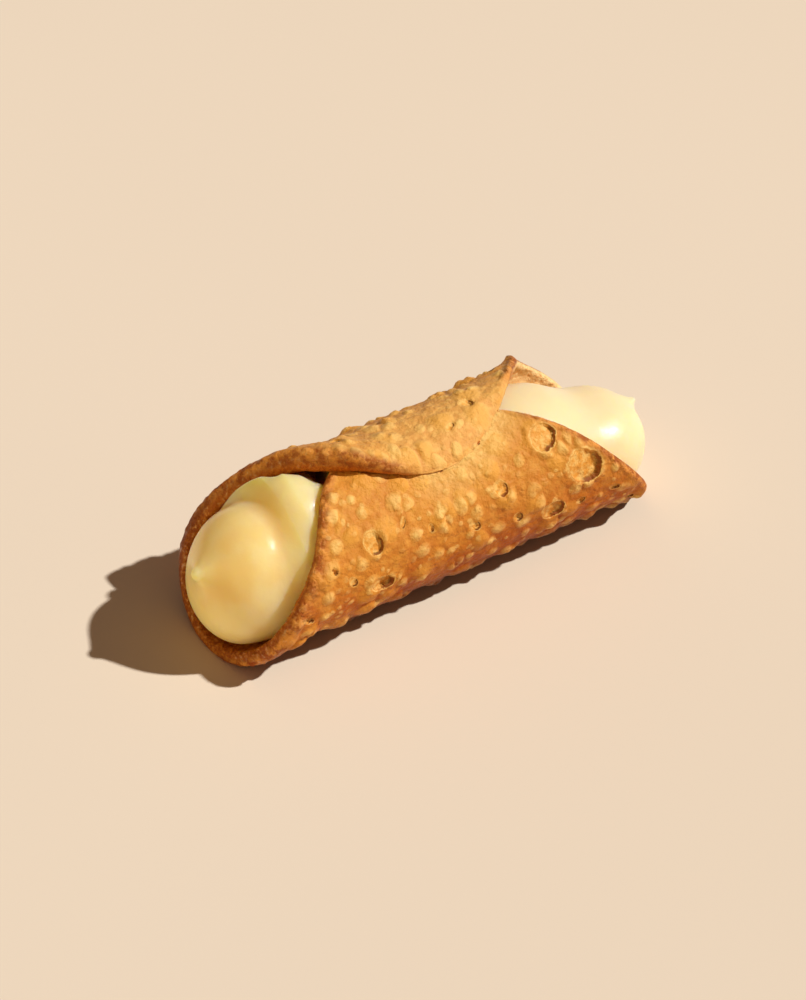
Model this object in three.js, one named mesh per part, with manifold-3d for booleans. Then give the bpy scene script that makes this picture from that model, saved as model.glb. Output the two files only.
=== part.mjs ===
// A filled cannolo. A rolled round of dough is wrapped about a metal form so that its two edges cross along the
// top, where egg wash seals them, and is fried until it blisters. The form is drawn out and cream is piped
// through from both ends. Millimetres, +Z up. The tube lies along X and rests on its underside.
import * as THREE from "three";
import { mergeVertices } from "three/addons/utils/BufferGeometryUtils.js";
import Module from "manifold-3d";

const wasm = await Module();
wasm.setup();

// ---- Driving sizes -------------------------------------------------------------------------------------------

const FORM_RADIUS = 16.7; // the form that the dough is wrapped about, and so the bore of the shell
const DOUGH = 2.3; // thickness of the fried wall between blisters
const SEAL_BITE = 0.5; // how far the top layer is pressed into the one under it
const REST_HEIGHT = 18.8; // the form's axis above the table, which leaves a narrow flat to rest on
const ROUND_MIDDLE = new THREE.Vector3(3.2, -0.4, REST_HEIGHT); // where the round's middle meets the form's axis

// Reach of the round's edge from its middle, at equal turns round it. The first points along +X, and the turn
// goes towards the edge that ends up underneath the other.
const ROUND_REACH = [53, 51.5, 51, 55, 62, 62, 54, 54, 57.5, 58, 56.5, 62, 65.5, 57.5, 50, 52.5];

// How far the edge curls outwards in the fat, at the same turns, over the last of the dough before it.
const EDGE_CURL = [0.8, 0.4, 0.3, 0.2, 0, 0, 0, 0.6, 0.8, 0.8, 0.9, 1.5, 0.3, 0.4, 1.6, 1.4];
const CURL_WIDTH = 13;

// How much thicker the dough puffed near its edge, at the same turns: on its outer face, and into the bore.
const EDGE_PUFF = [0.2, 0.2, 0.2, 0.2, 0, 0, 0.3, 0.8, 0.9, 0.6, 0.6, 2.4, 0.7, 0.3, 0.2, 0.4];
const PUFF_WIDTH = 11;
const EDGE_SAG = [0.2, 0, 0, 0, 0, 0, 0.3, 0.6, 0.7, 1.5, 1.9, 1.6, 0.2, 0, 0, 0.2];
const SAG_WIDTH = 7;

const CLIMB = { from: 135, to: 178 }; // degrees round the back over which the top layer climbs on to the other
const SEAL_LIP = { from: 172, over: 16, width: 9 }; // degrees round the back, and mm from the edge, of the flap's lip
const FLAP_LIFT = { height: 0.9, along: -16, reach: 15 }; // where that lip stands off the layer below
const COVERED = { from: 172, over: 10 }; // degrees round the front past which the flap keeps the dough smooth
const RIM_ROUND = { width: 2.2, outer: 0.75, inner: 0.35 }; // the wall thins over this width to a rounded rim

// Blisters that burst in the fat and left an open dish, at places on the flat round.
const BURSTS = [
  { along: 29.5, around: 35.5, radius: 4.4 },
  { along: 22, around: 44.5, radius: 3.2 },
  { along: -24, around: 38, radius: 3.0 },
  { along: -23.5, around: 28, radius: 3.2 },
  { along: 20.5, around: 28, radius: 3.2 },
  { along: 22, around: -44, radius: 3.0 },
];
const BURST_DEPTH = 0.9;

const BLISTERS = [
  { count: 42, radius: [4.0, 5.6], height: [0.6, 1.0] },
  { count: 120, radius: [2.4, 3.6], height: [0.35, 0.7] },
];
const BLISTER_SEED = 4127;
const BLISTER_FIELD = { along: 60, around: 66 }; // half of the box that the blisters are thrown into
const BLISTER_THROWS = 4000;
const BLISTER_CLEAR = 0.78; // least distance between two, as a share of their radii together
const BLISTER_INSET = 0.4; // and from the edge, as a share of a blister's own

const GAP = 0.7; // between cream and crust
const CREAM_CORNER = 2; // how widely the cream rounds off where it meets the crust
const CREAM_SPREAD = 0.45; // how steeply it swells past the crust's edge

const OUTER_CELLS = 56; // grid of the shell's outer face, across the round
const INNER_CELLS = OUTER_CELLS / 2; // and of its bore
const CREAM_SIDES = 48;
const CREAM_CAP_ROWS = 17; // rows of faces over each rounded end
const CREAM_ROPE_ROWS = 12; // rows along the rope between them

// ---- Small helpers -------------------------------------------------------------------------------------------

const clamp01 = (x) => Math.min(1, Math.max(0, x));
const smooth = (x) => clamp01(x) ** 2 * (3 - 2 * clamp01(x));
const mix = (range, share) => range[0] + (range[1] - range[0]) * share;

// The minimal standard generator: the same draws on any machine.
function draws(seed) {
  let state = seed;
  return () => (state = (state * 48271) % 2147483647) / 2147483647;
}

// A geometry from lists of points and triangles.
function toGeometry(points, faces) {
  const geometry = new THREE.BufferGeometry();
  geometry.setAttribute("position", new THREE.BufferAttribute(new Float32Array(points.flat()), 3));
  geometry.setIndex(faces.flat());
  return geometry;
}

function toSolid(geometry) {
  const merged = mergeVertices(geometry, 1e-5);
  return new wasm.Manifold(
    new wasm.Mesh({
      numProp: 3,
      vertProperties: merged.attributes.position.array,
      triVerts: new Uint32Array(merged.index.array),
    }),
  );
}

function fromSolid(solid) {
  const { vertProperties, triVerts } = solid.getMesh();
  const geometry = new THREE.BufferGeometry();
  geometry.setAttribute("position", new THREE.BufferAttribute(vertProperties, 3));
  geometry.setIndex(new THREE.BufferAttribute(triVerts, 1));
  return geometry;
}

// ---- The round of dough, laid flat ---------------------------------------------------------------------------
// A place on it is { along, around }, in mm from its middle: along the form, and around it towards -Y.

// A smooth curve through values given at equal turns.
function atTurn(values, turn) {
  const count = values.length;
  const step = ((turn / (2 * Math.PI)) * count + count) % count;
  const k = Math.floor(step);
  const t = step - k;
  const [a, b, c, d] = [-1, 0, 1, 2].map((i) => values[(k + i + count) % count]);
  return b + 0.5 * t * (c - a + t * (2 * a - 5 * b + 4 * c - d + t * (3 * (b - c) + d - a)));
}

// Squares the round: u and v from -1 to 1 cover it in cells of nearly even size.
function placeOnRound(u, v) {
  const x = u * Math.sqrt(1 - (v * v) / 2);
  const y = v * Math.sqrt(1 - (u * u) / 2);
  const turn = Math.atan2(y, x);
  const reach = atTurn(ROUND_REACH, turn);
  return { along: reach * x, around: reach * y, fromEdge: reach * (1 - Math.hypot(x, y)), turn };
}

// Blisters fill the round by darts: a draw that falls too near an earlier blister is thrown again.
function placeBlisters() {
  const next = draws(BLISTER_SEED);
  const placed = BURSTS.map((burst) => ({ ...burst, height: 0 }));
  for (const kind of BLISTERS) {
    let left = kind.count;
    for (let tries = 0; left > 0 && tries < BLISTER_THROWS; tries++) {
      const [a, b, size, rise] = [next(), next(), next(), next()];
      const along = (a * 2 - 1) * BLISTER_FIELD.along;
      const around = (b * 2 - 1) * BLISTER_FIELD.around;
      const radius = mix(kind.radius, size);
      const edge = atTurn(ROUND_REACH, Math.atan2(around, along)) - BLISTER_INSET * radius;
      const space = (p) => Math.hypot(p.along - along, p.around - around) / (p.radius + radius);
      if (Math.hypot(along, around) < edge && placed.every((p) => space(p) > BLISTER_CLEAR)) {
        placed.push({ along, around, radius, height: mix(kind.height, rise) });
        left--;
      }
    }
  }
  return placed;
}

const blisters = placeBlisters();

// Height of the dough's face over a smooth sheet: domes, and dishes where a blister burst.
function blisterRise({ along, around }) {
  let rise = 0;
  for (const b of blisters) {
    const share = 1 - ((b.along - along) ** 2 + (b.around - around) ** 2) / b.radius ** 2;
    if (share > 0 && b.height) rise = Math.max(rise, b.height * share ** 1.4);
    if (share > 0 && !b.height) rise -= BURST_DEPTH * smooth(share * 2);
  }
  return rise;
}

// ---- The same round, wrapped about the form ------------------------------------------------------------------

const MID_RADIUS = FORM_RADIUS + DOUGH / 2;
const degreesRound = (around) => THREE.MathUtils.radToDeg(around / MID_RADIUS);

// How much further out the layer lies than one wrapped straight on the form.
function standOff({ along, around, fromEdge, turn }) {
  const behind = -degreesRound(around);
  const climb = (DOUGH - SEAL_BITE) * smooth((behind - CLIMB.from) / (CLIMB.to - CLIMB.from));
  const lip = smooth((behind - SEAL_LIP.from) / SEAL_LIP.over) * smooth(1 - fromEdge / SEAL_LIP.width);
  const lift = FLAP_LIFT.height * lip * smooth(1 - Math.abs(along - FLAP_LIFT.along) / FLAP_LIFT.reach);
  const curl = Math.max(0, atTurn(EDGE_CURL, turn)) * smooth(1 - fromEdge / CURL_WIDTH);
  return climb + lift + curl;
}

// How far the puffed edge sags into the bore, which dies away on both sides of the edge.
const sagInwards = ({ fromEdge, turn }) =>
  Math.max(0, atTurn(EDGE_SAG, turn)) * smooth(1 - Math.abs(fromEdge) / SAG_WIDTH);

// share 0 is the bore and 1 the outer face.
function wrapped(place, share) {
  const edge = clamp01(1 - place.fromEdge / RIM_ROUND.width);
  const rounding = 1 - Math.sqrt(1 - Math.min(0.98, edge ** 2));
  const hidden = smooth((degreesRound(place.around) - COVERED.from) / COVERED.over);
  const blistered = blisterRise(place) * (1 - hidden) * (1 - 0.6 * edge);
  const puff = Math.max(0, atTurn(EDGE_PUFF, place.turn));
  const depth = share
    ? DOUGH + blistered + puff * smooth(1 - place.fromEdge / PUFF_WIDTH) - (RIM_ROUND.outer + 0.5 * puff) * rounding
    : RIM_ROUND.inner * rounding - sagInwards(place);
  const radius = FORM_RADIUS + standOff(place) + depth;
  const angle = place.around / MID_RADIUS;
  return new THREE.Vector3(
    ROUND_MIDDLE.x + place.along,
    ROUND_MIDDLE.y - radius * Math.sin(angle),
    Math.max(0, ROUND_MIDDLE.z - radius * Math.cos(angle)), // fried dough sits down flat on the table
  );
}

// One half of the wrapped round, on the side where v has the sign given, as a closed solid. Its outer grid has
// twice the cells of the bore's, and the two are stitched round their edges.
function halfShell(side) {
  const points = [];
  const faces = [];
  const grid = (cells, share) => {
    const rows = [];
    for (let i = 0; i <= cells; i++) {
      const row = [];
      for (let j = 0; j <= cells / 2; j++) {
        const place = placeOnRound((2 * i) / cells - 1, (side * 2 * j) / cells);
        row.push(points.push(wrapped(place, share).toArray()) - 1);
      }
      rows.push(row);
    }
    return rows;
  };
  const skin = (rows, flip) => {
    for (let i = 0; i + 1 < rows.length; i++)
      for (let j = 0; j + 1 < rows[0].length; j++) {
        const [a, b, c, d] = [rows[i][j], rows[i + 1][j], rows[i + 1][j + 1], rows[i][j + 1]];
        const pair = (i + j) % 2 ? [[a, b, c], [a, c, d]] : [[a, b, d], [b, c, d]];
        for (const [p, q, r] of pair) faces.push(flip ? [p, r, q] : [p, q, r]);
      }
  };
  const border = (rows) => {
    const n = rows.length - 1;
    const m = rows[0].length - 1;
    const loop = [];
    for (let i = 0; i < n; i++) loop.push(rows[i][0]);
    for (let j = 0; j < m; j++) loop.push(rows[n][j]);
    for (let i = n; i > 0; i--) loop.push(rows[i][m]);
    for (let j = m; j > 0; j--) loop.push(rows[0][j]);
    return loop;
  };
  const outer = grid(OUTER_CELLS, 1);
  const bore = grid(INNER_CELLS, 0);
  const flip = side < 0;
  skin(outer, flip);
  skin(bore, !flip);
  const [fine, coarse] = [border(outer), border(bore)];
  for (let k = 0; k < coarse.length; k++) {
    const [p, q] = [coarse[k], coarse[(k + 1) % coarse.length]];
    const [a, b, c] = [0, 1, 2].map((i) => fine[(2 * k + i) % fine.length]);
    for (const [x, y, z] of [[a, p, b], [b, p, q], [b, q, c]]) faces.push(flip ? [x, z, y] : [x, y, z]);
  }
  return toSolid(toGeometry(points, faces));
}

// The two halves share the line underneath and are sealed where the flap lies on the other edge.
function makeShell() {
  const material = new THREE.MeshStandardMaterial({ color: 0xc9803a, roughness: 0.62, metalness: 0 });
  const mesh = new THREE.Mesh(fromSolid(halfShell(-1).add(halfShell(1))), material);
  mesh.name = "shell";
  return mesh;
}

// ---- The cream ---------------------------------------------------------------------------------------------
// Lobes are rounded blocks, placed from the round's middle: x along the tube, y to the back, z above the axis.
// Each leans back from the near mouth by some degrees. A squareness of 2 is an ellipsoid.

const CREAM_LOBES = [
  // A thinner run behind the near mouth, the rope's end in that mouth, the last dollop laid over it, and the fold
  // filled between those two.
  { at: [-17, 0.5, -1.5], radii: [14, 13, 13], lean: 0, squareness: 2, fold: 1.2 },
  { at: [-30, 7, -0.5], radii: [16.5, 20, 20], lean: 26, squareness: 3, fold: 1.2 },
  { at: [-46.6, 0.9, -2.4], radii: [12.7, 13.6, 16.2], lean: 18, squareness: 2.1, fold: 2.2 },
  { at: [-42.5, -6, -5], radii: [8, 9.3, 9], lean: 0, squareness: 2, fold: 3.5 },
  // The rope's end in the far mouth, and the dollop sagging out of it.
  { at: [25, 0.3, -0.5], radii: [15, 15.7, 15.7], lean: 0, squareness: 2, fold: 1.2 },
  { at: [38.3, -1.3, -4.4], radii: [16.2, 13.4, 12.2], lean: 0, squareness: 2.3, fold: 6 },
];
const CREAM_HOLLOW = { at: [-26.2, 8.5, 16.5], radii: [2.6, 10, 11], lean: -27, squareness: 2 }; // under the seal
const CREAM_ROPE = [-10, 24]; // where the cream fills the bore
const CREAM_PEAKS = [
  { from: [-54.2, 0.3, 1.9], to: [-60.8, -0.5, 5], radii: [6.4, 0.6], fold: 1.5 }, // pulled out as the nozzle left
  { from: [46, -0.5, -0.5], to: [54.6, 0, 1.5], radii: [5, 0.6], fold: 2.5 },
];
const CAP_CENTRES = [-38, 31]; // the faces of each end fan out from here, on the axis
const CREAM_REACH = 34; // further than its skin lies from there
const HALVINGS = 30; // steps that close in on the skin

// Radius that the crust leaves free inside it, which opens out past its edge.
function freeRadius([x, y, z]) {
  const angle = Math.atan2(-y, -z);
  let free = 1000;
  for (const round of [0, -2 * Math.PI, 2 * Math.PI]) {
    const around = (angle + round) * MID_RADIUS;
    const turn = Math.atan2(around, x);
    const fromEdge = atTurn(ROUND_REACH, turn) - Math.hypot(x, around);
    const stood = standOff({ along: x, around, fromEdge: Math.max(0, fromEdge), turn });
    const past = CREAM_SPREAD * Math.max(0, -fromEdge);
    free = softMin(free, stood - sagInwards({ fromEdge, turn }) + past, CREAM_CORNER);
  }
  return FORM_RADIUS - GAP + free;
}

function lobeDistance({ at, radii, lean, squareness }, p) {
  const [x, y, z] = p.map((value, i) => value - at[i]);
  const [cos, sin] = [Math.cos(THREE.MathUtils.degToRad(lean)), Math.sin(THREE.MathUtils.degToRad(lean))];
  const own = [x * cos - z * sin, y, x * sin + z * cos];
  const shares = own.map((value, i) => Math.max(1e-9, Math.abs(value) / radii[i]));
  const scaled = shares.reduce((sum, share) => sum + share ** squareness, 0) ** (1 / squareness);
  const slope = Math.hypot(...shares.map((share, i) => (share / scaled) ** (squareness - 1) / radii[i]));
  return (scaled - 1) / slope;
}

function peakDistance({ from, to, radii }, p) {
  const axis = to.map((x, i) => x - from[i]);
  const gone = p.map((x, i) => x - from[i]);
  const t = clamp01(gone.reduce((sum, x, i) => sum + x * axis[i], 0) / axis.reduce((sum, x) => sum + x * x, 0));
  return Math.hypot(...gone.map((x, i) => x - t * axis[i])) - mix(radii, t);
}

function softMin(a, b, softness) {
  const h = clamp01(0.5 + (0.5 * (b - a)) / softness);
  return b + (a - b) * h - softness * h * (1 - h);
}

function creamDistance(p) {
  const radius = Math.hypot(p[1], p[2]);
  let d = Math.max(radius - FORM_RADIUS + GAP, CREAM_ROPE[0] - p[0], p[0] - CREAM_ROPE[1]);
  for (const lobe of CREAM_LOBES) d = softMin(d, lobeDistance(lobe, p), lobe.fold);
  for (const peak of CREAM_PEAKS) d = softMin(d, peakDistance(peak, p), peak.fold);
  const held = softMin(-d, freeRadius(p) - radius, CREAM_CORNER); // the crust holds it all round
  return -softMin(held, lobeDistance(CREAM_HOLLOW, p), 1);
}

// From inside the cream, the place where a straight line leaves it.
function creamSkin(start, direction) {
  let [near, far] = [0, CREAM_REACH];
  for (let i = 0; i < HALVINGS; i++) {
    const t = (near + far) / 2;
    if (creamDistance(start.map((x, k) => x + t * direction[k])) < 0) near = t;
    else far = t;
  }
  const p = start.map((x, k) => x + near * direction[k]);
  return [ROUND_MIDDLE.x + p[0], ROUND_MIDDLE.y + p[1], ROUND_MIDDLE.z + p[2]];
}

// Rings of points: fanned over the near end, straight out along the rope, and fanned over the far end.
function makeCream() {
  const rings = [];
  const ring = (x, tilt) =>
    Array.from({ length: CREAM_SIDES }, (_, k) => {
      const a = (2 * Math.PI * k) / CREAM_SIDES;
      return creamSkin([x, 0, 0], [-Math.cos(tilt), Math.sin(tilt) * Math.cos(a), Math.sin(tilt) * Math.sin(a)]);
    });
  for (let i = 1; i <= CREAM_CAP_ROWS; i++) rings.push(ring(CAP_CENTRES[0], (Math.PI / 2) * (i / CREAM_CAP_ROWS)));
  for (let i = 1; i < CREAM_ROPE_ROWS; i++) rings.push(ring(mix(CAP_CENTRES, i / CREAM_ROPE_ROWS), Math.PI / 2));
  for (let i = CREAM_CAP_ROWS; i >= 1; i--)
    rings.push(ring(CAP_CENTRES[1], Math.PI - (Math.PI / 2) * (i / CREAM_CAP_ROWS)));
  const points = rings.flat();
  const faces = [];
  for (let i = 0; i + 1 < rings.length; i++)
    for (let k = 0; k < CREAM_SIDES; k++) {
      const n = (k + 1) % CREAM_SIDES;
      const [a, b, c, d] = [[i, k], [i, n], [i + 1, n], [i + 1, k]].map(([r, s]) => r * CREAM_SIDES + s);
      faces.push([a, b, c], [a, c, d]);
    }
  const close = (x, direction, first, flip) => {
    const pole = points.push(creamSkin([x, 0, 0], direction)) - 1;
    for (let k = 0; k < CREAM_SIDES; k++) {
      const [a, b] = [first + k, first + ((k + 1) % CREAM_SIDES)];
      faces.push(flip ? [pole, b, a] : [pole, a, b]);
    }
  };
  close(CAP_CENTRES[0], [-1, 0, 0], 0, true);
  close(CAP_CENTRES[1], [1, 0, 0], (rings.length - 1) * CREAM_SIDES, false);
  const material = new THREE.MeshStandardMaterial({ color: 0xf3dc8c, roughness: 0.38, metalness: 0 });
  const mesh = new THREE.Mesh(toGeometry(points, faces), material);
  mesh.name = "cream";
  return mesh;
}

const cannolo = new THREE.Group();
cannolo.add(makeShell(), makeCream());

export default cannolo;
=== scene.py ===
import math

import bpy
import numpy as np
from mathutils import Matrix, Vector


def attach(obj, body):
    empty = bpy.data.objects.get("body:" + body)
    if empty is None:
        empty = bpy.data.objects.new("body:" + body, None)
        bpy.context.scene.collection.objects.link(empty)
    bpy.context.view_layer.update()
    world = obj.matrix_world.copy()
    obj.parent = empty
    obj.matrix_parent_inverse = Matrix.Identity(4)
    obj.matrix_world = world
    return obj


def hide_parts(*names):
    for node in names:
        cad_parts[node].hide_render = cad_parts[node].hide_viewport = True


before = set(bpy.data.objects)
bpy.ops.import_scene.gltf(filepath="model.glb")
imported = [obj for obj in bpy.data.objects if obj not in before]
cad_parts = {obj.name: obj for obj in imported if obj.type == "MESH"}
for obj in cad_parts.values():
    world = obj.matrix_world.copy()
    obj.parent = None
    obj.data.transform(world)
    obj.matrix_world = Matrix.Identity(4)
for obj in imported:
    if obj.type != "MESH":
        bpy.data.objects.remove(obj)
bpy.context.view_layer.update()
mm = 0.001

# ---- The table, the light and the camera ---------------------------------------------------------------
# A plain pale table top, with nothing else on it. A hard studio light from the right throws a clear shadow, a
# card on the left gives the shaded side a warm fill, and weak warm light comes back from all round the room.

TABLE_REACH = 4.0
TABLE_COLOUR = (242, 220, 193)
# Each light: the way towards it, its spread in degrees, its strength and its colour.
LIGHTS = {
    "studio light": ((0.624, -0.318, 0.713), 1.6, 3.85, (0.93, 0.97, 1.0)),
    "white card": ((-0.95, -0.15, 0.25), 60, 1.3, (0.97, 0.87, 0.32)),
}
ROOM_COLOUR = (0.155, 0.108, 0.078)

CAMERA_TURN = math.radians(31)
CAMERA_RISE = math.radians(45)
CAMERA_DISTANCE = 700 * mm
CAMERA_AIM = (3.2 * mm, -0.4 * mm, 18.8 * mm)
CAMERA_ASIDE = (-5.9 * mm, -2.1 * mm)  # the camera stands this far to the right of the aim, and above it
CAMERA_LENS = 112.64


def linear(red, green, blue):
    """A colour as a paint chart gives it, from 0 to 255, as the light that the shader works in."""
    shares = (x / 255 for x in (red, green, blue))
    return tuple(x / 12.92 if x < 0.04045 else ((x + 0.055) / 1.055) ** 2.4 for x in shares)


class Wire:
    """An output in a node tree. An expression on wires adds the Math nodes that work it out."""

    def __init__(self, tree, socket=None):
        self.tree = tree
        self.socket = socket

    def add(self, kind, settings=None, inputs=None, output=0):
        """Any node: its settings first, then the values or wires of its sockets. Gives one of its outputs."""
        node = self.tree.nodes.new(kind)
        for name, value in (settings or {}).items():
            setattr(node, name, value)
        for name, value in (inputs or {}).items():
            if isinstance(value, Wire):
                self.tree.links.new(value.socket, node.inputs[name])
            else:
                node.inputs[name].default_value = value
        return Wire(self.tree, node.outputs[output])

    def math(self, operation, *values):
        return self.add("ShaderNodeMath", {"operation": operation}, dict(enumerate(values)))

    def __add__(self, other):
        return self.math("ADD", self, other)

    def __sub__(self, other):
        return self.math("SUBTRACT", self, other)

    def __rsub__(self, other):
        return self.math("SUBTRACT", other, self)

    def __mul__(self, other):
        return self.math("MULTIPLY", self, other)

    def __truediv__(self, other):
        return self.math("DIVIDE", self, other)

    __radd__ = __add__
    __rmul__ = __mul__

    def power(self, exponent):
        return self.math("POWER", self, exponent)

    def larger(self, other):
        return self.math("MAXIMUM", self, other)

    def smaller(self, other):
        return self.math("MINIMUM", self, other)

    def size(self):
        return self.math("ABSOLUTE", self)

    def eased(self, start, end):
        """0 at start and 1 at end, easing in and out between them."""
        settings = {"interpolation_type": "SMOOTHSTEP"}
        return self.add("ShaderNodeMapRange", settings, {"Value": self, "From Min": start, "From Max": end})

    def between(self, low, high):
        """low where this is 0 and high where it is 1."""
        return self * (high - low) + low

    def parts(self):
        """The three parts of a vector or colour."""
        node = self.add("ShaderNodeSeparateXYZ", None, {0: self}).socket.node
        return [Wire(self.tree, socket) for socket in node.outputs]

    def vector(self, operation, *values, output=0, scale=None):
        inputs = dict(enumerate(values))
        if scale is not None:
            inputs["Scale"] = scale
        return self.add("ShaderNodeVectorMath", {"operation": operation}, inputs, output)

    def noise(self, place, size, detail=3.0, roughness=0.55):
        """Cloudy noise from 0 to 1, with its largest patches about size across."""
        inputs = {"Vector": place, "Scale": 1 / size, "Detail": detail, "Roughness": roughness}
        return self.add("ShaderNodeTexNoise", None, inputs)

    def mix(self, share, first, second):
        """A colour between two: the first where share is 0 and the second where it is 1."""
        inputs = {0: share, 6: first, 7: second}
        for key in (6, 7):
            if not isinstance(inputs[key], Wire):
                inputs[key] = (*inputs[key], 1)
        return self.add("ShaderNodeMix", {"data_type": "RGBA"}, inputs, 2)


def new_material(name):
    """Gives a new material, its shader and a wire to build its nodes from."""
    material = bpy.data.materials.new(name)
    material.use_nodes = True
    return material, material.node_tree.nodes["Principled BSDF"], Wire(material.node_tree)


def feed(shader, socket, wire):
    wire.tree.links.new(wire.socket, shader.inputs[socket])


def new_object(name, points, faces, smooth=True):
    mesh = bpy.data.meshes.new(name)
    mesh.from_pydata(points.tolist(), [], faces)
    mesh.polygons.foreach_set("use_smooth", [smooth] * len(mesh.polygons))
    thing = bpy.data.objects.new(name, mesh)
    bpy.context.scene.collection.objects.link(thing)
    return thing


def table_paint():
    material, shader, start = new_material("table top")
    shader.inputs["Roughness"].default_value = 0.85
    shader.inputs["Specular IOR Level"].default_value = 0.15
    place = start.add("ShaderNodeTexCoord", None, None, "Object")
    cloud = start.noise(place, 0.35, 2.0).eased(0.3, 0.7)
    warm = linear(*TABLE_COLOUR)
    feed(shader, "Base Color", start.mix(cloud, warm, tuple(x * 0.975 for x in warm)))
    return material


corners = np.array([[-1, -1, 0], [1, -1, 0], [1, 1, 0], [-1, 1, 0]]) * TABLE_REACH
table = new_object("table_top", corners, [(0, 1, 2, 3)], smooth=False)
table.data.materials.append(table_paint())

for name, (towards, spread, strength, colour) in LIGHTS.items():
    light = bpy.data.objects.new(name, bpy.data.lights.new(name, "SUN"))
    light.data.angle = math.radians(spread)
    light.data.energy = strength
    light.data.color = colour
    light.rotation_euler = Vector(towards).to_track_quat("Z", "Y").to_euler()
    bpy.context.scene.collection.objects.link(light)

room = bpy.data.worlds.new("room")
room.use_nodes = True
room.node_tree.nodes["Background"].inputs["Color"].default_value = (*ROOM_COLOUR, 1)
bpy.context.scene.world = room
bpy.context.scene.view_settings.view_transform = "Standard"

camera = bpy.data.objects.new("camera", bpy.data.cameras.new("camera"))
camera.data.lens = CAMERA_LENS
camera.rotation_euler = (math.pi / 2 - CAMERA_RISE, 0, -CAMERA_TURN)
turned = camera.rotation_euler.to_matrix()
camera.location = Vector(CAMERA_AIM) + turned @ Vector((*CAMERA_ASIDE, CAMERA_DISTANCE))
bpy.context.scene.collection.objects.link(camera)
bpy.context.scene.camera = camera

# ---- The fried shell -----------------------------------------------------------------------------------
# A rolled round of dough, wrapped about a metal form so that its edges cross along the top, sealed there and
# fried. It blisters all over, some blisters burst, and the thin edges brown most.

FORM_RADIUS = 16.7 * mm
DOUGH = 2.3 * mm
SEAL_BITE = 0.5 * mm
ROUND_MIDDLE = (3.2 * mm, -0.4 * mm, 18.8 * mm)
MID_RADIUS = FORM_RADIUS + DOUGH / 2

# How far the round's edge is from its middle, and how far it curls outwards, in mm at equal turns round it.
# The first points along +X, and the turn goes towards the edge that ends up underneath the other.
ROUND_REACH = [53, 51.5, 51, 55, 62, 62, 54, 54, 57.5, 58, 56.5, 62, 65.5, 57.5, 50, 52.5]
EDGE_CURL = [0.8, 0.4, 0.3, 0.2, 0, 0, 0, 0.6, 0.8, 0.8, 0.9, 1.5, 0.3, 0.4, 1.6, 1.4]

# How much thicker the dough puffed near its edge, in mm at the same turns: outwards, and down into the bore.
EDGE_PUFF = [0.2, 0.2, 0.2, 0.2, 0, 0, 0.3, 0.8, 0.9, 0.6, 0.6, 2.4, 0.7, 0.3, 0.2, 0.4]
EDGE_SAG = [0.2, 0, 0, 0, 0, 0, 0.3, 0.6, 0.7, 1.5, 1.9, 1.6, 0.2, 0, 0, 0.2]

OUTER_CELLS = 264  # grid of the outer face, across the round
BORE_CELLS = OUTER_CELLS // 2
RIM_ROWS = 6
RIM_BULGE = 0.35 * mm

# Blisters that burst: along, around, radius and depth in mm on the flat round, where around grows towards -Y,
# then the radius the narrow way as a share of that one, and the turn of the long way in degrees.
BURSTS = [
    (29.5, 35.5, 4.3, 1.2, 0.85, 20),
    (22.0, 44.5, 3.1, 1.0, 0.9, -30),
    (-24.0, 38.0, 2.7, 0.9, 0.75, 70),
    (-23.5, 28.0, 2.8, 1.3, 0.6, 10),
    (20.5, 28.0, 2.8, 0.9, 0.75, 0),
    (8.5, 38.0, 1.9, 0.6, 0.8, 60),
    (11.5, 30.0, 1.3, 0.9, 0.8, 20),
    (0.5, 32.5, 1.5, 0.7, 0.7, 40),
    (37.0, 27.0, 1.4, 0.7, 0.6, 20),
    (28.0, 27.0, 1.2, 0.6, 0.6, -20),
    (42.5, 20.0, 1.6, 0.6, 0.45, 30),
    (-10.0, 36.0, 1.0, 0.5, 0.6, 80),
    (-16.0, 39.5, 1.2, 0.5, 0.5, 110),
    (-30.5, 31.5, 1.3, 0.5, 0.7, 60),
    (-34.5, 35.5, 1.0, 0.5, 0.6, 40),
    (-42.5, 27.0, 1.8, 0.7, 0.35, 30),
    (22.0, -44.0, 2.5, 1.2, 0.6, 20),
    (3.0, -59.0, 1.5, 0.6, 0.4, 160),
    (10.0, -55.0, 1.7, 0.7, 0.6, 30),
    (-21.7, -53.0, 1.1, 0.7, 0.5, 20),
]
BURST_FACTS = ("radius", "depth of dish", "narrow share", "turned")
BURST_LEAN = (0.8, -0.6)  # the side of a burst blister where its dish is deepest

SHELL_SIZES = {
    "Form radius": FORM_RADIUS,
    "Dough": DOUGH,
    "Climb from": 135.0,  # degrees round the back over which the top layer climbs on to the other
    "Climb to": 178.0,
    "Climb height": DOUGH - SEAL_BITE,
    "Lip lift": 0.9 * mm,  # the flap's lip stands off the layer below about one place along the seal
    "Lip lift at": -16 * mm,
    "Lip lift reach": 15 * mm,
    "Lip lift width": 9 * mm,
    "Lip lift from": 172.0,  # degrees round the back
    "Lip lift to": 188.0,
    "Sealed from": -24 * mm,  # past here the lip is pressed nearly flush with the layer below
    "Sealed to": -8 * mm,
    "Pressed from": 178.0,  # degrees round the back
    "Pressed to": 186.0,
    "Press width": 5 * mm,
    "Seal thinning": 1.5 * mm,
    "Curl width": 13 * mm,
    "Puff width": 11 * mm,
    "Sag width": 7 * mm,
    "Rim width": 2.2 * mm,
    "Rim outer rounding": 0.75 * mm,
    "Rim bore rounding": 0.35 * mm,
    "Rim roughness": 1.1 * mm,
    "Rough width": 2.5 * mm,
    "Swell": 0.9 * mm,  # height of the outer face's broad unevenness
    "Ripple": 1.0 * mm,  # and of its finer one
    "Bore lumps": 0.8 * mm,
}

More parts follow.
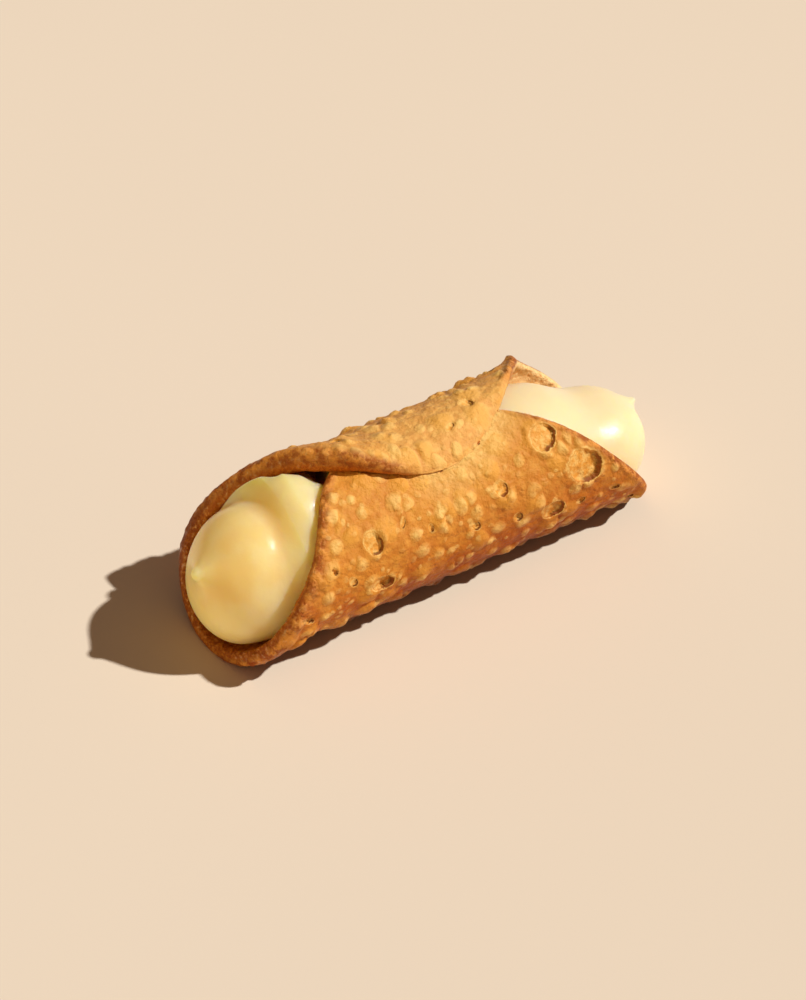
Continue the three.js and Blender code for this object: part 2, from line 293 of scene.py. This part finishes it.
# Blisters by size: spacing, least and greatest radius, least and greatest height, in metres, and the share of
# places that have none.
BLISTERS = {
    "swelling": (7.6 * mm, 2.6 * mm, 4.2 * mm, 0.5 * mm, 1.0 * mm, 0.3),
    "blister": (4.8 * mm, 1.3 * mm, 2.5 * mm, 0.3 * mm, 0.65 * mm, 0.3),
    "bead": (2.3 * mm, 0.6 * mm, 1.1 * mm, 0.08 * mm, 0.18 * mm, 0.6),
}
BLISTER_BEND = 2.4 * mm  # how far their outlines are pulled out of round

CRUST_COLOURS = {
    "gold": (228, 142, 38),
    "amber": (192, 94, 12),
    "honey": (233, 160, 62),
    "pale": (247, 198, 114),
    "brown": (182, 94, 26),
    "dark": (124, 54, 14),
    # The sides' colour is painted shade and the top's colour is painted light.
    "sides": (166, 72, 0),
    "top": (248, 182, 84),
    "flap": (255, 200, 116),
    # Painted shade, low on the sides and under the shell.
    "low on the sides": (150, 58, 0),
    "underside": (74, 24, 5),
    "crisp edge": (158, 72, 20),
    "lumps of the edge": (230, 148, 66),
    "grains of the edge": (240, 170, 92),
    # The far bore's colour is painted paler as painted light.
    "far bore with painted light": (255, 216, 150),
}


def at_turns(values, turn):
    """A smooth closed curve through values given at equal turns."""
    values = np.array(values, float)
    step = turn / (2 * math.pi) * len(values) % len(values)
    k = np.floor(step).astype(int)
    t = step - k
    a, b, c, d = (values[(k + i) % len(values)] for i in (-1, 0, 1, 2))
    return b + 0.5 * t * (c - a + t * (2 * a - 5 * b + 4 * c - d + t * (3 * (b - c) + d - a)))


def round_grid(cells):
    """A square grid drawn over the round. Gives each point's turn and its share of the way to the edge."""
    line = np.linspace(-1, 1, cells + 1)
    u, v = np.meshgrid(line, line, indexing="ij")
    x = u * np.sqrt(1 - v * v / 2)
    y = v * np.sqrt(1 - u * u / 2)
    return np.arctan2(y, x), np.hypot(x, y)


def border(cells):
    """The places in such a grid that lie on its edge, in order round it."""
    index = np.arange((cells + 1) ** 2).reshape(cells + 1, cells + 1)
    return np.concatenate([index[:-1, 0], index[-1, :-1], index[:0:-1, -1], index[0, :0:-1]])


def lay_flat_round():
    """The dough before it is wrapped: a closed flat mesh whose points know their depth, edge and curl."""
    turns, shares, depths, bulges, faces = [], [], [], [], []

    def lay(turn, share, depth, bulge):
        first = sum(len(t) for t in turns)
        for store, values in ((turns, turn), (shares, share), (depths, depth), (bulges, bulge)):
            store.append(np.broadcast_to(values, turn.shape).ravel())
        return first

    def skin(first, cells, upwards):
        index = first + np.arange((cells + 1) ** 2).reshape(cells + 1, cells + 1)
        corners = [index[:-1, :-1], index[1:, :-1], index[1:, 1:], index[:-1, 1:]]
        quads = np.stack(corners if upwards else corners[::-1], -1).reshape(-1, 4)
        faces.extend(quads.tolist())

    outer_turn, outer_share = round_grid(OUTER_CELLS)
    outer = lay(outer_turn, outer_share, 1.0, 0.0)
    skin(outer, OUTER_CELLS, True)
    bore_turn, bore_share = round_grid(BORE_CELLS)
    bore = lay(bore_turn, bore_share, 0.0, 0.0)
    skin(bore, BORE_CELLS, False)

    rim = border(OUTER_CELLS)
    rows = [outer + rim]
    rim_turn = outer_turn.ravel()[rim]
    for k in range(1, RIM_ROWS):
        depth = 1 - k / RIM_ROWS
        first = lay(rim_turn, 1.0, depth, RIM_BULGE * math.sin(math.pi * depth))
        rows.append(first + np.arange(len(rim)))
    for high, low in zip(rows, rows[1:]):
        faces.extend(np.stack([high, low, np.roll(low, -1), np.roll(high, -1)], -1).tolist())
    last, inner = rows[-1], bore + border(BORE_CELLS)
    for k in range(len(inner)):
        p, q = inner[k], inner[(k + 1) % len(inner)]
        a, b, c = (last[(2 * k + i) % len(last)] for i in range(3))
        faces.extend([(a, p, b), (b, p, q), (b, q, c)])

    turn, share, depth, bulge = (np.concatenate(store) for store in (turns, shares, depths, bulges))
    reach = at_turns(ROUND_REACH, turn) * mm
    radius = reach * share + bulge
    points = np.stack([radius * np.cos(turn), radius * np.sin(turn), 0 * turn], -1)
    # Where the other edge lies over this layer, and how far out from that edge each point is.
    over = points[:, 1] - 2 * math.pi * MID_RADIUS
    past_lip = np.hypot(points[:, 0], over) - at_turns(ROUND_REACH, np.arctan2(over, points[:, 0])) * mm
    thing = new_object("fried_shell", points, faces)
    facts = {
        "depth": depth,
        "from_edge": reach * (1 - share) - bulge,
        "curl": np.maximum(0, at_turns(EDGE_CURL, turn)) * mm,
        "past_lip": past_lip,
        "puff": np.maximum(0, at_turns(EDGE_PUFF, turn)) * mm,
        "sag": np.maximum(0, at_turns(EDGE_SAG, turn)) * mm,
    }
    for name, values in facts.items():
        thing.data.attributes.new(name, "FLOAT", "POINT").data.foreach_set("value", values)
    return thing


def blister_field(start, place, kind):
    """Domes of one kind scattered over a flat place: their height, and how far up a dome each place is."""
    spacing, least, most, low, high, bare = BLISTERS[kind]
    bend = start.add("ShaderNodeTexNoise", None, {"Vector": place, "Scale": 0.45 / spacing, "Detail": 3.0}, 1)
    bent = start.vector("MULTIPLY_ADD", bend, (BLISTER_BEND,) * 3, place)
    cells = {}
    for feature in ("F1", "F2"):
        settings = {"voronoi_dimensions": "2D", "feature": feature}
        inputs = {"Vector": bent, "Scale": 1 / spacing, "Randomness": 1.0}
        cells[feature] = start.add("ShaderNodeTexVoronoi", settings, inputs)
    node = cells["F1"].socket.node
    sized, raised, there = Wire(start.tree, node.outputs["Color"]).parts()
    far = cells["F1"] * spacing / sized.between(least, most)
    apart = (cells["F2"] - cells["F1"]).eased(0, 0.25)
    up = (1 - far * far).larger(0) * there.math("GREATER_THAN", there, bare) * apart
    return up.power(1.7) * raised.between(low, high), up


def build_wrap():
    """The rule that wraps the flat round about the form and fries it."""
    tree = bpy.data.node_groups.new("wrap and fry", "GeometryNodeTree")
    tree.is_modifier = True
    tree.interface.new_socket("Geometry", in_out="OUTPUT", socket_type="NodeSocketGeometry")
    tree.interface.new_socket("Geometry", in_out="INPUT", socket_type="NodeSocketGeometry")
    for name in SHELL_SIZES:
        tree.interface.new_socket(name, in_out="INPUT", socket_type="NodeSocketFloat")
    tree.interface.new_socket("Bursts", in_out="INPUT", socket_type="NodeSocketObject")
    tree.interface.new_socket("Material", in_out="INPUT", socket_type="NodeSocketMaterial")
    entry = tree.nodes.new("NodeGroupInput")
    start = Wire(tree)
    size = {socket.name: Wire(tree, socket) for socket in entry.outputs if socket.name}

    def fact(name, kind="FLOAT"):
        return start.add("GeometryNodeInputNamedAttribute", {"data_type": kind}, {"Name": name})

    depth, from_edge, curl, past_lip = (fact(name) for name in ("depth", "from_edge", "curl", "past_lip"))
    puff, sag = fact("puff"), fact("sag")
    place = start.add("GeometryNodeInputPosition")
    along, around, _ = place.parts()
    mid_radius = size["Form radius"] + size["Dough"] / 2
    angle = around / mid_radius
    behind = angle * (-180 / math.pi)

    # How far the dough stands off the form: over the other edge, at the flap's lip and where its edge curls.
    climb = size["Climb height"] * behind.eased(size["Climb from"], size["Climb to"])
    over_seal = behind.eased(size["Lip lift from"], size["Lip lift to"])
    lifted = (along - size["Lip lift at"]).size().eased(size["Lip lift reach"], 0)
    lift = size["Lip lift"] * over_seal * from_edge.eased(size["Lip lift width"], 0) * lifted
    stand_off = climb + lift + curl * from_edge.eased(size["Curl width"], 0)

    # Its rounded rim, and the domes and swellings of its outer face, which the flap presses flat beneath it.
    edge = (1 - from_edge / size["Rim width"]).larger(0).smaller(1)
    rounding = 1 - (1 - (edge * edge).smaller(0.98)).power(0.5)
    domes = sum(blister_field(start, place, kind)[0] for kind in BLISTERS)
    swell = (start.noise(place, 14 * mm, 2.0) - 0.5) * size["Swell"]
    swell = swell + (start.noise(place, 4 * mm, 3.0) - 0.5) * size["Ripple"]
    under_flap = past_lip.eased(0.6 * mm, -0.8 * mm) * around.eased(20 * mm, 30 * mm)

    # The nearest burst blister, and where each place lies across its dish.
    holes = start.add("GeometryNodeObjectInfo", None, {"Object": size["Bursts"]}, "Geometry")
    inputs = {"Geometry": holes, "Sample Position": place}
    nearest = start.add("GeometryNodeSampleNearest", {"domain": "POINT"}, inputs)

    def of_nearest(value, kind):
        settings = {"data_type": kind, "domain": "POINT"}
        inputs = {"Geometry": holes, "Value": value, "Index": nearest}
        return start.add("GeometryNodeSampleIndex", settings, inputs)

    centre = of_nearest(place, "FLOAT_VECTOR")
    radius, dig, narrow, turned = (of_nearest(fact(name), "FLOAT") for name in BURST_FACTS)
    across = start.vector("SCALE", start.vector("SUBTRACT", place, centre), scale=radius.power(-1))
    lean = start.vector("DOT_PRODUCT", across, (*BURST_LEAN, 0), output="Value")
    inputs = {"Vector": across, "Angle": turned * (math.pi / 180)}
    own_x, own_y, _ = start.add("ShaderNodeVectorRotate", {"rotation_type": "Z_AXIS"}, inputs).parts()
    ragged = (start.noise(place, 2.2 * mm, 2.0) - 0.5) * 0.45
    ragged = ragged + (start.noise(place, 0.9 * mm, 2.0) - 0.5) * 0.3
    own_y = own_y / narrow
    out = (own_x * own_x + own_y * own_y).power(0.5) + ragged
    dish = out.eased(1.0, 0.82) * lean.eased(-0.9, 0.5).between(0.15, 1)
    mound = out.eased(1.8, 1.0) * radius * 0.12
    bare = out.eased(1.0, 1.3)
    relief = (domes * bare + swell + mound - dig * dish) * (1 - under_flap) * (1 - 0.6 * edge)

    # Both faces of the wall, from the form outwards.
    pressed = behind.eased(size["Pressed from"], size["Pressed to"])
    sealed = pressed * along.eased(size["Sealed from"], size["Sealed to"])
    thinning = size["Seal thinning"] * sealed * from_edge.eased(size["Press width"], 0.5 * mm)
    puffed = from_edge.eased(size["Puff width"], 0)
    worn = (size["Rim outer rounding"] + 0.5 * puff) * rounding
    outer_depth = size["Dough"] + relief + puff * puffed - worn - thinning
    lumps = (start.noise(place, 3 * mm) - 0.5) * size["Bore lumps"]
    bore_depth = size["Rim bore rounding"] * rounding - sag * from_edge.eased(size["Sag width"], 0) - lumps
    through_wall = start.add("ShaderNodeCombineXYZ", None, {2: depth * size["Dough"]})
    crumb_place = start.vector("ADD", place, through_wall)
    crumbs = (start.noise(crumb_place, 1.6 * mm, 2.0) - 0.5) * size["Rim roughness"]
    crumbs = crumbs * from_edge.eased(size["Rough width"], 0)

    # Wrapped about the form, and flat where it rests on the table.
    reach = size["Form radius"] + stand_off + bore_depth + (outer_depth - bore_depth) * depth + crumbs
    x = along + ROUND_MIDDLE[0]
    y = ROUND_MIDDLE[1] - reach * angle.math("SINE", angle)
    z = (ROUND_MIDDLE[2] - reach * angle.math("COSINE", angle)).larger(0)
    wrapped = start.add("ShaderNodeCombineXYZ", None, {0: x, 1: y, 2: z})

    geometry = size["Geometry"]
    kept = {
        "flat": start.add("ShaderNodeCombineXYZ", None, {0: along, 1: around, 2: from_edge}),
        "burst": start.add("ShaderNodeCombineXYZ", None, {0: out, 1: lean}),
        "layer": start.add("ShaderNodeCombineXYZ", None, {0: depth, 1: past_lip, 2: behind}),
    }
    for name, value in kept.items():
        settings = {"data_type": "FLOAT_VECTOR", "domain": "POINT"}
        inputs = {"Geometry": geometry, "Name": name, "Value": value}
        geometry = start.add("GeometryNodeStoreNamedAttribute", settings, inputs)
    geometry = start.add("GeometryNodeSetPosition", None, {"Geometry": geometry, "Position": wrapped})
    geometry = start.add("GeometryNodeRealizeInstances", None, {"Geometry": geometry})
    inputs = {"Geometry": geometry, "Material": size["Material"]}
    geometry = start.add("GeometryNodeSetMaterial", None, inputs)
    exit_node = tree.nodes.new("NodeGroupOutput")
    tree.links.new(geometry.socket, exit_node.inputs["Geometry"])
    return tree


def shell_crust():
    """Mottled golden fried dough: pale blisters, amber between them, oily brown and rough along the edges."""
    material, shader, start = new_material("fried crust")
    shader.inputs["Specular IOR Level"].default_value = 0.14
    shader.inputs["Coat Roughness"].default_value = 0.25

    def fact(name):
        return start.add("ShaderNodeAttribute", {"attribute_name": name}, None, "Vector").parts()

    along, around, from_edge = fact("flat")
    depth, past_lip, behind = fact("layer")
    out, lean, _ = fact("burst")
    place = start.add("ShaderNodeTexCoord", None, None, "Object")
    flat = start.add("ShaderNodeCombineXYZ", None, {0: along, 1: around})
    outside = depth.eased(0.85, 0.99)
    paint = {name: linear(*colour) for name, colour in CRUST_COLOURS.items()}
    gold, amber, honey = paint["gold"], paint["amber"], paint["honey"]
    pale, brown, dark = paint["pale"], paint["brown"], paint["dark"]

    # Clouds of gold and amber, with paler honey patches and a fine dark speckle.
    colour = start.mix(start.noise(place, 9 * mm, 5.0, 0.65).eased(0.4, 0.6), gold, amber)
    colour = start.mix(start.noise(place, 4.2 * mm, 4.0, 0.6).eased(0.44, 0.66) * 0.85, colour, honey)
    speck = start.noise(place, 0.8 * mm, 3.0, 0.7).eased(0.55, 0.72)
    colour = start.mix(speck * 0.3, colour, brown)

    # Painted shade makes the sides a deeper amber and painted light makes the top a lighter gold.
    top_light_share = around.size().eased(20 * mm, 42 * mm)
    side_shade_share = along.eased(-20 * mm, 20 * mm).between(0.42, 0.66)
    colour = start.mix(top_light_share * 0.5, start.mix(side_shade_share, colour, paint["sides"]), paint["top"])
    # The flap is palest, most of all at its far end.
    flap = around.eased(-42 * mm, -52 * mm) * along.eased(-25 * mm, -5 * mm).between(0.2, 0.55)
    colour = start.mix(flap, colour, paint["flap"])

    # Blisters fry pale on top, with a broken brown ring round them and amber troughs between.
    swelling, blister, bead = (blister_field(start, flat, kind)[1] for kind in BLISTERS)
    clear = out.eased(1.0, 1.3) * outside
    broken = start.noise(place, 1.6 * mm, 3.0).eased(0.3, 0.6)
    dense = start.noise(place, 15 * mm, 2.0).eased(0.38, 0.6)
    trough = swelling.eased(0.35, 0.0) * blister.eased(0.2, 0.0) * clear
    colour = start.mix(trough * broken.between(0.0, 0.3), colour, amber)
    colour = start.mix(swelling.eased(0.1, 0.9) * clear * 0.45, colour, honey)
    ring = blister.eased(0.0, 0.06) * blister.eased(0.34, 0.1) * clear
    colour = start.mix(ring * broken * 0.3, colour, brown)
    tops = blister.eased(0.0, 1.0) * clear * broken.between(0.2, 0.9)
    colour = start.mix(tops * dense.between(0.45, 0.95), colour, pale)
    colour = start.mix(bead.eased(0.1, 0.8) * clear * broken * dense * 0.6, colour, pale)

    # A burst blister has a pale gritty floor, and painted shade darkens its wall on one side.
    floor = out.eased(1.0, 0.9) * outside
    shaded_dish_wall = out.eased(0.78, 0.9) * out.eased(1.04, 0.97) * lean.eased(0.1, 0.5) * outside
    grit = start.noise(flat, 1.4 * mm, 3.0).eased(0.35, 0.6)
    colour = start.mix(floor * 0.75, colour, start.mix(grit * 0.8, pale, gold))
    colour = start.mix(shaded_dish_wall * 0.85, colour, dark)
    # Painted shade darkens the sides low down between the mouths, and the underside most of all.
    low = around.size().eased(33 * mm, 18 * mm) * along.eased(-32 * mm, -16 * mm)
    low = low * along.eased(40 * mm, 28 * mm)
    colour = start.mix(low * 0.4, colour, paint["low on the sides"])
    underside = around.size().eased(22 * mm, 12 * mm)
    colour = start.mix(underside * 0.9, colour, paint["underside"])
    # The torn brim of a burst blister stays pale.
    brim = out.eased(0.98, 1.03) * out.eased(1.18, 1.05) * broken * outside
    colour = start.mix(brim * 0.8, colour, pale)

    # The edge fries darkest, in a band that is widest at the near mouth, where oil glints on its grains.
    grain = start.noise(place, 1.0 * mm, 3.0, 0.65)
    lump = start.noise(place, 2.6 * mm, 3.0, 0.6)
    near = along.eased(-20 * mm, -34 * mm)
    seal = along.eased(-16 * mm, -6 * mm) * behind.eased(166, 174)
    margin = from_edge.eased(near.between(2.0 * mm, 3.6 * mm), 0.3 * mm) * (1 - seal * 0.9)
    crisp = start.mix(lump.eased(0.4, 0.62), paint["crisp edge"], paint["lumps of the edge"])
    crisp = start.mix(grain.eased(0.5, 0.66) * 0.3, crisp, paint["grains of the edge"])
    colour = start.mix(margin * 0.85, colour, crisp)
    # The inner half of the rim face is darker.
    inner_rim_dark = from_edge.eased(1.1 * mm, 0.2 * mm) * depth.eased(1.0, 0.6) * (1 - seal)
    colour = start.mix(inner_rim_dark * 0.45, colour, dark)
    # Painted shade darkens the edge at the back of the near tip, and the bore there.
    near_tip_shade = along.eased(-42 * mm, -52 * mm)
    shaded_back_side = around.eased(4 * mm, -8 * mm)
    colour = start.mix(near_tip_shade * margin * shaded_back_side * 0.85, colour, dark)
    near_bore_shaded = start.mix(near_tip_shade * 0.7, brown, dark)
    # The bore turns from brown near the near mouth to gold at the far one, painted paler there as painted
    # light.
    inner = start.mix(along.eased(18 * mm, 36 * mm), near_bore_shaded, paint["far bore with painted light"])
    colour = start.mix(depth.eased(0.75, 0.2), colour, start.mix(grain.eased(0.4, 0.66) * 0.4, inner, gold))

    # Egg wash and crumbs along the sealed seam leave a pale broken ridge with pinholes, and a dusty strip.
    seam_side = along.eased(-14 * mm, -4 * mm) * around.eased(20 * mm, 30 * mm)
    seam = past_lip.size().eased(1.6 * mm, 0.3 * mm) * seam_side
    dusty = past_lip.eased(9 * mm, 1 * mm) * past_lip.eased(-0.3 * mm, 0.3 * mm) * seam_side
    colour = start.mix(dusty * broken.between(0.25, 0.6), colour, pale)
    colour = start.mix(seam * grain.eased(0.35, 0.6) * 0.8, colour, pale)
    pinhole = start.noise(flat, 0.9 * mm, 1.0).eased(0.66, 0.7)
    pinhole = pinhole * past_lip.size().eased(0.8 * mm, 0.4 * mm) * seam
    colour = start.mix(pinhole, colour, dark)
    feed(shader, "Base Color", colour)
    feed(shader, "Roughness", start.noise(place, 1.2 * mm, 2.0).between(0.35, 0.65))
    feed(shader, "Coat Weight", (margin + depth.eased(0.75, 0.2) * 0.6) * near * grain.eased(0.56, 0.64))

    wrinkles = start.noise(place, 2.4 * mm, 5.0, 0.6) + start.noise(place, 0.8 * mm, 2.0, 0.5) * 0.12
    height = wrinkles + blister * 0.12 + bead * 0.1 - shaded_dish_wall * 0.3 + grain * (margin * 0.5 + seam * 0.8)
    height = height + lump * margin * 0.8
    inputs = {"Height": height, "Strength": 0.9, "Distance": 1 * mm}
    feed(shader, "Normal", start.add("ShaderNodeBump", None, inputs))
    return material


def wrap_shell():
    shell = lay_flat_round()
    places = np.array([(along, around, 0) for along, around, *_ in BURSTS]) * mm
    bursts = new_object("burst places", places, [])
    for name, values in zip(BURST_FACTS, np.array(BURSTS).T[2:]):
        scale = mm if name in ("radius", "depth of dish") else 1
        bursts.data.attributes.new(name, "FLOAT", "POINT").data.foreach_set("value", values * scale)
    modifier = shell.modifiers.new("wrap and fry", "NODES")
    modifier.node_group = build_wrap()
    values = {**SHELL_SIZES, "Bursts": bursts, "Material": shell_crust()}
    for item in modifier.node_group.interface.items_tree:
        if item.in_out == "INPUT" and item.name in values:
            modifier[item.identifier] = values[item.name]
    bpy.context.view_layer.update()
    seen = bpy.context.evaluated_depsgraph_get()
    wrapped = shell.evaluated_get(seen)
    mesh = bpy.data.meshes.new_from_object(wrapped, preserve_all_data_layers=True, depsgraph=seen)
    shell.modifiers.clear()
    shell.data = mesh
    bpy.data.objects.remove(bursts)
    return shell


shell = wrap_shell()
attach(shell, "root")
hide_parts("shell")

# ---- The cream -----------------------------------------------------------------------------------------
# Thick pastry cream, piped in from each mouth so that it fills the bore, with a last dollop laid over the end
# of the rope and pulled to a point as the nozzle leaves.

# Lengths here are in mm, and places are measured from the middle of the round as it is wrapped.
CREAM_GAP = 0.4  # between it and the crust
SPREAD = 0.45  # how steeply the cream swells past the crust's edge
# Lobes: middle, radii, lean back in degrees, squareness, and softness of the fold around it.
CREAM_LOBES = [
    ((-17, 0.5, -1.5), (14, 13, 13), 0, 2, 1.2),
    ((-30.0, 7, -0.5), (16.5, 20, 20), 26, 3, 1.2),
    ((-46.0, 0.5, -2.4), (13.2, 14.1, 16.2), 18, 2.1, 2.2),
    ((-42.5, -6, -5), (8, 9.3, 9), 0, 2, 3.5),
    ((-36.5, -6, 3), (8, 9.5, 14), 35, 2, 3),
    ((25, 0.3, -0.5), (15, 15.7, 15.7), 0, 2, 1.2),
    ((38.3, -1.3, -4.4), (16.2, 13.4, 12.2), 0, 2.3, 6),
]
# The same facts of the hollow left under the place where the two edges cross.
CREAM_HOLLOW = ((-26.2, 8.5, 16.5), (2.6, 10, 11), -27, 2, 1)
CREAM_ROPE = (-10, 24)  # between these it fills the bore
CREAM_CORNER = 2  # how widely it rounds off where one edge of the crust crosses the other
CREAM_BRIM = 1.1  # and where it meets the crust
# Points that the nozzle pulled out: start, end, the radii at both, and how softly each joins the rest.
CREAM_PEAKS = [
    ((-51.8, 0.3, 2.4), (-58.9, -0.3, 5.0), (8.0, 1.2), 4),
    ((46, -0.5, -0.5), (54.6, 0, 1.5), (5, 0.6), 2.5),
]
CREAM_CAPS = (-38, 31)  # its mesh is drawn outwards from the axis between these, and from these at its ends
CREAM_SIDES = 300
CREAM_CAP_ROWS = 100
CREAM_ROPE_ROWS = 20
CREAM_REACH = 34.0  # further than it reaches from there
CREAM_HALVINGS = 24

CREAM_COLOURS = {
    "near": (247, 218, 158),
    "near clouds": (245, 209, 138),
    "far": (247, 219, 170),
}


def lobe_distance(points, middle, radii, lean, squareness):
    """Rough distance from a rounded block that leans back by some degrees. Less than 0 is inside it."""
    turned = Matrix.Rotation(math.radians(lean), 3, "Y")
    own = (points - np.array(middle, float)) @ np.array(turned)
    shares = np.maximum(np.abs(own) / radii, 1e-9)
    scaled = np.sum(shares**squareness, -1) ** (1 / squareness)
    slope = np.linalg.norm((shares / scaled[..., None]) ** (squareness - 1) / radii, axis=-1)
    return (scaled - 1) / slope


def peak_distance(points, start, end, radii):
    """Distance from a cone with a round tip."""
    axis = np.subtract(end, start)
    gone = points - np.array(start, float)
    t = np.clip(gone @ axis / (axis @ axis), 0, 1)
    return np.linalg.norm(gone - t[..., None] * axis, axis=-1) - (radii[0] + (radii[1] - radii[0]) * t)


def soft_least(a, b, softness):
    h = np.clip(0.5 + 0.5 * (b - a) / softness, 0, 1)
    return b + (a - b) * h - softness * h * (1 - h)


def smooth(x):
    x = np.clip(x, 0, 1)
    return x * x * (3 - 2 * x)


def room(points):
    """Radius that the crust leaves free inside it, which opens out past its edge."""
    middle = MID_RADIUS / mm
    climb_from, climb_to = SHELL_SIZES["Climb from"], SHELL_SIZES["Climb to"]
    curl_width, sag_width = SHELL_SIZES["Curl width"] / mm, SHELL_SIZES["Sag width"] / mm
    angle = np.arctan2(-points[..., 1], -points[..., 2])
    free = np.full(angle.shape, 1e3)
    for wrap in (0, -2 * math.pi, 2 * math.pi):
        around = (angle + wrap) * middle
        turn = np.arctan2(around, points[..., 0])
        from_edge = at_turns(ROUND_REACH, turn) - np.hypot(points[..., 0], around)
        behind = -np.degrees(angle + wrap)
        climb = SHELL_SIZES["Climb height"] / mm * smooth((behind - climb_from) / (climb_to - climb_from))
        curl = np.maximum(0, at_turns(EDGE_CURL, turn)) * smooth(1 - np.maximum(0, from_edge) / curl_width)
        sag = np.maximum(0, at_turns(EDGE_SAG, turn)) * smooth(1 - np.abs(from_edge) / sag_width)
        free = soft_least(free, climb + curl - sag + SPREAD * np.maximum(0, -from_edge), CREAM_CORNER)
    return FORM_RADIUS / mm - CREAM_GAP + free


def cream_distance(points):
    radius = np.hypot(points[..., 1], points[..., 2])
    crust = radius - (FORM_RADIUS / mm - CREAM_GAP)
    gap = np.maximum(np.maximum(crust, CREAM_ROPE[0] - points[..., 0]), points[..., 0] - CREAM_ROPE[1])
    for *lobe, softness in CREAM_LOBES:
        gap = soft_least(gap, lobe_distance(points, *lobe), softness)
    for start, end, radii, blend in CREAM_PEAKS:
        gap = soft_least(gap, peak_distance(points, start, end, radii), blend)
    gap = -soft_least(-gap, room(points) - radius, CREAM_BRIM)
    *hollow, softness = CREAM_HOLLOW
    return -soft_least(-gap, lobe_distance(points, *hollow), softness)


def cream_skin(starts, directions):
    """Where straight lines from inside the cream leave it."""
    near, far = np.zeros(len(starts)), np.full(len(starts), CREAM_REACH)
    for _ in range(CREAM_HALVINGS):
        middle = (near + far) / 2
        inside = cream_distance(starts + middle[:, None] * directions) < 0
        near, far = np.where(inside, middle, near), np.where(inside, far, middle)
    return starts + near[:, None] * directions


def pipe_cream():
    turn = np.arange(CREAM_SIDES) / CREAM_SIDES * 2 * math.pi
    cap = np.arange(1, CREAM_CAP_ROWS + 1) / CREAM_CAP_ROWS * math.pi / 2
    rope = np.linspace(*CREAM_CAPS, CREAM_ROPE_ROWS + 1)[1:-1]
    tilts = np.concatenate([cap, np.full(len(rope), math.pi / 2), math.pi - cap[::-1]])
    middles = np.concatenate([np.full(len(cap), CREAM_CAPS[0]), rope, np.full(len(cap), CREAM_CAPS[1])])
    tilt, side = np.repeat(tilts, CREAM_SIDES), np.tile(turn, len(tilts))
    directions = np.stack([-np.cos(tilt), np.sin(tilt) * np.cos(side), np.sin(tilt) * np.sin(side)], -1)
    starts = np.stack([np.repeat(middles, CREAM_SIDES), 0 * tilt, 0 * tilt], -1)
    starts = np.concatenate([starts, [(CREAM_CAPS[0], 0, 0), (CREAM_CAPS[1], 0, 0)]])
    directions = np.concatenate([directions, [(-1, 0, 0), (1, 0, 0)]])
    points = cream_skin(starts, directions) * mm + np.array(ROUND_MIDDLE)

    index = np.arange(len(tilts) * CREAM_SIDES).reshape(len(tilts), CREAM_SIDES)
    following = np.roll(index, -1, axis=1)
    quads = np.stack([index[:-1], following[:-1], following[1:], index[1:]], -1).reshape(-1, 4)
    near_pole, far_pole = len(points) - 2, len(points) - 1
    faces = quads.tolist()
    faces += [(near_pole, b, a) for a, b in zip(index[0].tolist(), following[0].tolist())]
    faces += [(far_pole, a, b) for a, b in zip(index[-1].tolist(), following[-1].tolist())]
    return new_object("pastry_cream", points, faces)


def cream_finish():
    material, shader, start = new_material("pastry cream")
    shader.inputs["Specular IOR Level"].default_value = 0.5
    shader.inputs["Subsurface Weight"].default_value = 1.0
    shader.inputs["Subsurface Radius"].default_value = (0.9, 0.76, 0.28)
    shader.inputs["Subsurface Scale"].default_value = 10 * mm
    place = start.add("ShaderNodeTexCoord", None, None, "Object")
    cloud = start.noise(place, 12 * mm, 2.0).eased(0.35, 0.65)
    far = place.parts()[0].eased(-10 * mm, 30 * mm)
    paint = {name: linear(*colour) for name, colour in CREAM_COLOURS.items()}
    near_colour = start.mix(cloud, paint["near"], paint["near clouds"])
    feed(shader, "Base Color", start.mix(far, near_colour, paint["far"]))
    feed(shader, "Roughness", far.between(0.27, 0.34))
    fine = start.noise(place, 4 * mm, 3.0) * 0.3 + start.noise(place, 0.8 * mm, 2.0) * 0.02
    inputs = {"Height": fine, "Strength": 0.5, "Distance": 1 * mm}
    feed(shader, "Normal", start.add("ShaderNodeBump", None, inputs))
    return material


cream = pipe_cream()
cream.data.materials.append(cream_finish())
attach(cream, "root")
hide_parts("cream")

# The card's light stands for that of a small card close by, which wouldn't reach the table.
card_lit = bpy.data.collections.new("lit by the white card")
for piece in (shell, cream):
    card_lit.objects.link(piece)
bpy.data.objects["white card"].light_linking.receiver_collection = card_lit
